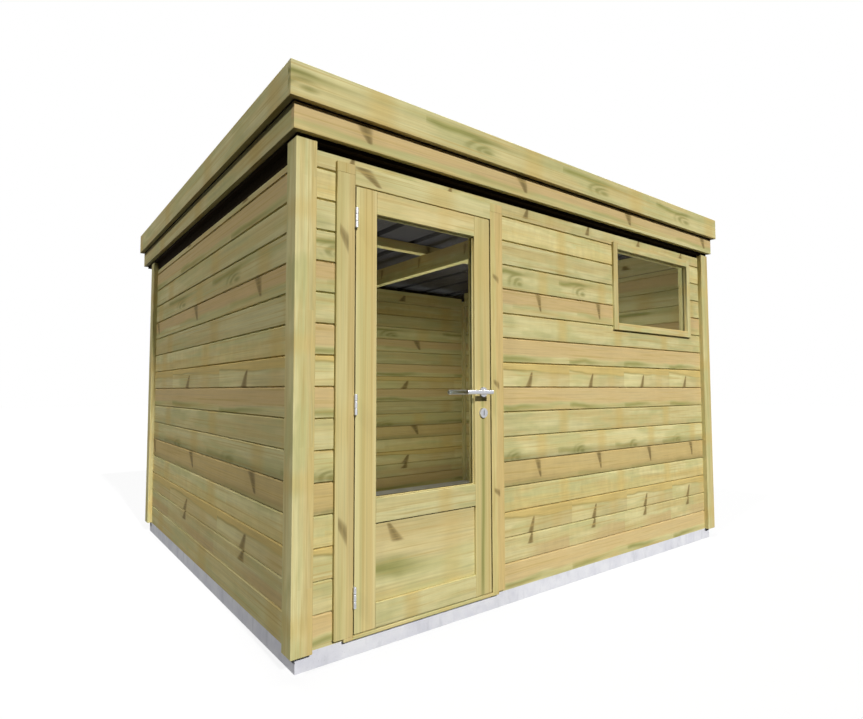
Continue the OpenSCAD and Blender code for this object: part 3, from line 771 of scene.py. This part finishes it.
# Window frame: uprights through, rails between them
casing = Timber()
low, high = window_low, window_high
pane_low, pane_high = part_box("window_glass")
casing.lay(low, (pane_low.x, high.y, high.z), "z", "y", "straight")
casing.lay((pane_high.x, low.y, low.z), high, "z", "y", "straight")
casing.lay((pane_low.x, low.y, low.z), (pane_high.x, high.y, pane_low.z), "x", "y", "straight")
casing.lay((pane_low.x, low.y, pane_high.z), (pane_high.x, high.y, high.z), "x", "y", "straight")
glazing_beads(casing, (pane_low, pane_high))
casing.piece("window_casing", "shed", "timber", "window_frame")

# Fascia boards in two steps
for step, kinds, knot in (("low", ("knotty", "curly", "plain", "blushed"), -0.385),
                          ("top", ("curly", "knotty", "plain", "curly"), -0.693)):
    band = Timber()
    names = [f"fascia_{step}_{side}" for side in ("front", "back", "left", "right")]
    for name, kind in zip(names, kinds):
        along, face = ("x", "y") if name.endswith(("front", "back")) else ("y", "x")
        band.lay(*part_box(name), along, face, kind, first_knot=knot, stretch=1.78)
    band.piece(f"fascia_{step}_boards", "shed", "timber", *names)

# Roof timbers
rafters = Timber()
rafters.lay(*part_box("roof_beam"), "y", "x", "beam")
rafters.lay(*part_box("roof_purlin"), "x", "y", "beam")
rafters.piece("roof_timbers", "shed", "timber", "roof_beam", "roof_purlin")

# Door leaf: the figure of the stiles is so long that it doesn't repeat on them
leaf = Timber()
leaf.lay(*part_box("door_stile_hinge"), "z", "y", "stile", first_knot=1.0, stretch=4.0)
leaf.lay(*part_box("door_stile_lock"), "z", "y", "halved", first_knot=1.0, stretch=4.0)
leaf.lay(*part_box("door_rail_top"), "x", "y", "rail")
leaf.lay(*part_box("door_rail_middle"), "x", "y", "plain")
leaf.lay(*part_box("door_rail_bottom"), "x", "y", "plain", first_knot=-1.9)
leaf.lay(*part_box("door_panel"), "x", "y", "panel", first_knot=-1.165, stretch=1.4)
glazing_beads(leaf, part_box("door_glass"))
leaf.piece("door_leaf", "door", "door_timber", "door_stile_hinge", "door_stile_lock", "door_rail_top",
           "door_rail_middle", "door_rail_bottom", "door_panel")

# Hinges: three knuckles with rounded ends on a pin, and a plate in the gap beside the leaf
HINGE_MIDDLES = (254 * MM, 1078 * MM, 1908 * MM)
HINGE_H = 92 * MM
KNUCKLE_R = 7 * MM
KNUCKLE_EASE = 3 * MM
KNUCKLE_GAP = 1 * MM
KNUCKLE_H = (HINGE_H - 2 * KNUCKLE_GAP) / 3
PLATE_T = 2 * MM
PLATE_D = 35 * MM
PLATE_ARRIS = 0.4 * MM
LEAF_GAP = 5 * MM
HINGE_STEPS = 32


def hinge_half(half, plate_x, foot, knuckles):
    """Half of a hinge from its foot up: its plate and the knuckles that are its own, counted from below."""
    pin = joints["door_hinge"]
    far_x = plate_x + PLATE_T
    half.plate((plate_x, leaf_face_y, foot), (far_x, leaf_face_y + PLATE_D, foot + HINGE_H), "z", "x",
               PLATE_ARRIS)
    for knuckle in knuckles:
        z = foot + knuckle * (KNUCKLE_H + KNUCKLE_GAP)
        half.turn(rounded_bar(KNUCKLE_H, KNUCKLE_R, KNUCKLE_EASE), (pin.x, pin.y, z), "z", HINGE_STEPS)
        half.plate((plate_x, pin.y, z), (far_x, leaf_face_y, z + KNUCKLE_H), "z", "x", PLATE_ARRIS)


on_jamb, on_leaf = Metal(), Metal()
for middle in HINGE_MIDDLES:
    hinge_half(on_jamb, stile_low.x - LEAF_GAP, middle - HINGE_H / 2, (0, 2))
    hinge_half(on_leaf, stile_low.x - PLATE_T, middle - HINGE_H / 2, (1,))
on_jamb.piece("hinge_halves_on_jamb", zinc, "shed", "hinge_steel", "hinges_frame")
on_leaf.piece("hinge_halves_on_leaf", zinc, "door", "hinge_steel", "hinges_door")

# Levers: a tube with open ends on a neck, on both faces of the leaf
BORE_R = 4.5 * MM
BORE_D = 12 * MM
LEVER_EASE = 1.5 * MM
LEVER_STEPS = 48
ROSE_T = 9 * MM
NECK_CLEAR = 1 * MM
low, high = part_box("lever_handle")
lever_r = (high.z - low.z) / 2
spindle = joints["lever_turn"]
bar = rounded_bar(high.x - low.x, lever_r, LEVER_EASE)
bar = [(BORE_D, 0), (BORE_D, BORE_R), (0, BORE_R), *bar[1:]]
handle = Metal()
for y, inward, rose_y in ((low.y + lever_r, 1, leaf_face_y - ROSE_T),
                          (high.y - lever_r, -1, leaf_back_y + ROSE_T)):
    handle.turn(bar, (low.x, y, spindle.z), "x", LEVER_STEPS)
    neck = inward * (abs(rose_y - y) - NECK_CLEAR)
    stub = [(0, 0), (0, lever_r), (neck, lever_r), (neck, 0)]
    handle.turn(stub, (spindle.x, y, spindle.z), "y", LEVER_STEPS)
handle.piece("door_levers", aluminium, "lever", "handle_metal", "lever_handle")

# CAD nodes that keep their shape
# The rims take the pine with painted shade, near black for the shade under the fascias
for material, names in ((concrete, ("base_slab",)), (shade_painted_pine, ("rims_front_back", "rims_sides")),
                        (roof_paint, ("roof_sheet",)), (glass, ("window_glass", "door_glass")),
                        (aluminium, ("door_roses",))):
    for name in names:
        nodes[name].data.materials.clear()
        nodes[name].data.materials.append(material)

# Studio: white to the eye, but a grey floor to the light, so that undersides stay dark
DOME = 0.03
FLOOR_HALF = 40.0
FLOOR_GLOW = 0.94
SHADOW_SHARE = 0.12
WHITE = "#FFFFFF"
scene = bpy.context.scene
scene.view_settings.view_transform = "Standard"


def eye_ray(t):
    """1 for the rays that show the background: seen directly, in metal or through glass."""
    path = add(t, "LightPath")
    seen = add(t, "Math", path.outputs["Is Camera Ray"], path.outputs["Is Glossy Ray"], operation="ADD")
    return add(t, "Math", seen, path.outputs["Is Transmission Ray"], operation="ADD", use_clamp=True)


def lamp(name, kind, towards, power):
    """A lamp that shines towards a direction."""
    made = bpy.data.objects.new(name, bpy.data.lights.new(name, kind))
    made.data.energy = power
    made.rotation_euler = Vector(towards).to_track_quat("-Z", "Y").to_euler()
    scene.collection.objects.link(made)
    return made


def sun(name, towards, power, softness):
    """A distant lamp, whose disc is so many degrees across."""
    lamp(name, "SUN", towards, power).data.angle = math.radians(softness)


def panel_lamp(name, place, towards, width, length, power, spread):
    """A soft rectangular lamp that doesn't show itself."""
    made = lamp(name, "AREA", towards, power)
    made.data.shape = "RECTANGLE"
    made.data.size, made.data.size_y = width, length
    made.data.spread = math.radians(spread)
    made.location = place
    made.visible_camera = made.visible_transmission = False


world = bpy.data.worlds.new("studio_dome")
scene.world = world
world.use_nodes = True
t = world.node_tree
t.nodes.clear()
strength = add(t, "MapRange", eye_ray(t), 0.0, 1.0, DOME, 1.0)
add(t, "OutputWorld", add(t, "Background", linear(WHITE), strength))

studio_floor, t = new_material("matt_studio_floor")
lit = add(t, "BsdfDiffuse", linear("#202020"))
glow = add(t, "Emission", linear(WHITE), FLOOR_GLOW)
shown = add(t, "MixShader", SHADOW_SHARE, glow, add(t, "BsdfDiffuse", linear(WHITE)))
add(t, "OutputMaterial", add(t, "MixShader", eye_ray(t), lit, shown))
floor_mesh = bpy.data.meshes.new("studio_floor")
corners = [(x * FLOOR_HALF, y * FLOOR_HALF, 0) for x, y in ((-1, -1), (1, -1), (1, 1), (-1, 1))]
floor_mesh.from_pydata(corners, [], [(0, 1, 2, 3)])
floor_mesh.materials.append(studio_floor)
floor = bpy.data.objects.new("studio_floor", floor_mesh)
scene.collection.objects.link(floor)

# Key light from the front and above; weaker fills light the other sides
sun("key_light", (0.03, 0.82, -0.57), power=3.8, softness=2)
sun("left_fill", (0.66, 0.12, -0.74), power=1.75, softness=4)
sun("right_fill", (-0.67, 0.0, -0.74), power=1.0, softness=4)
sun("back_fill", (0.0, -0.75, -0.66), power=2.0, softness=4)
# Light inside the room: soft for the walls, narrow and upward for the undersides of the roof timbers
UP, DOWN, RIGHT, TO_WINDOW = (0, 0, 1), (0, 0, -1), (1, 0, 0), (0.44, -0.51, 0)
ROOM = dict(width=2.8, length=2.3, spread=180)
panel_lamp("room_light_low", (0, 0, foot_z + 30 * MM), UP, power=12, **ROOM)
panel_lamp("room_light_high", (0, 0, 1.95), DOWN, power=14, **ROOM)
panel_lamp("room_light_left", (-1.6, -0.8, 1.0), RIGHT, width=1.2, length=1.0, power=2.5, spread=60)
panel_lamp("window_light", (1.0, -0.9, 1.83), TO_WINDOW, width=0.1, length=0.8, power=0.4, spread=40)
panel_lamp("roof_light", (0, -0.35, foot_z + 20 * MM), UP, width=2.8, length=1.9, power=11, spread=50)

# Camera, fitted to the straight edges of the photographed shed
LENS = 22.942
SENSOR = 36
EYE = (-2.6400, -3.5857, 1.1411)
HEADING, LIFT, ROLL = -37.368, 3.179, -0.105
camera = bpy.data.objects.new("camera", bpy.data.cameras.new("camera"))
camera.data.lens = LENS
camera.data.sensor_width = SENSOR
camera.matrix_world = (
    Matrix.Translation(EYE)
    @ Matrix.Rotation(math.radians(HEADING), 4, "Z")
    @ Matrix.Rotation(math.radians(90 + LIFT), 4, "X")
    @ Matrix.Rotation(math.radians(ROLL), 4, "Z")
)
scene.collection.objects.link(camera)
scene.camera = camera
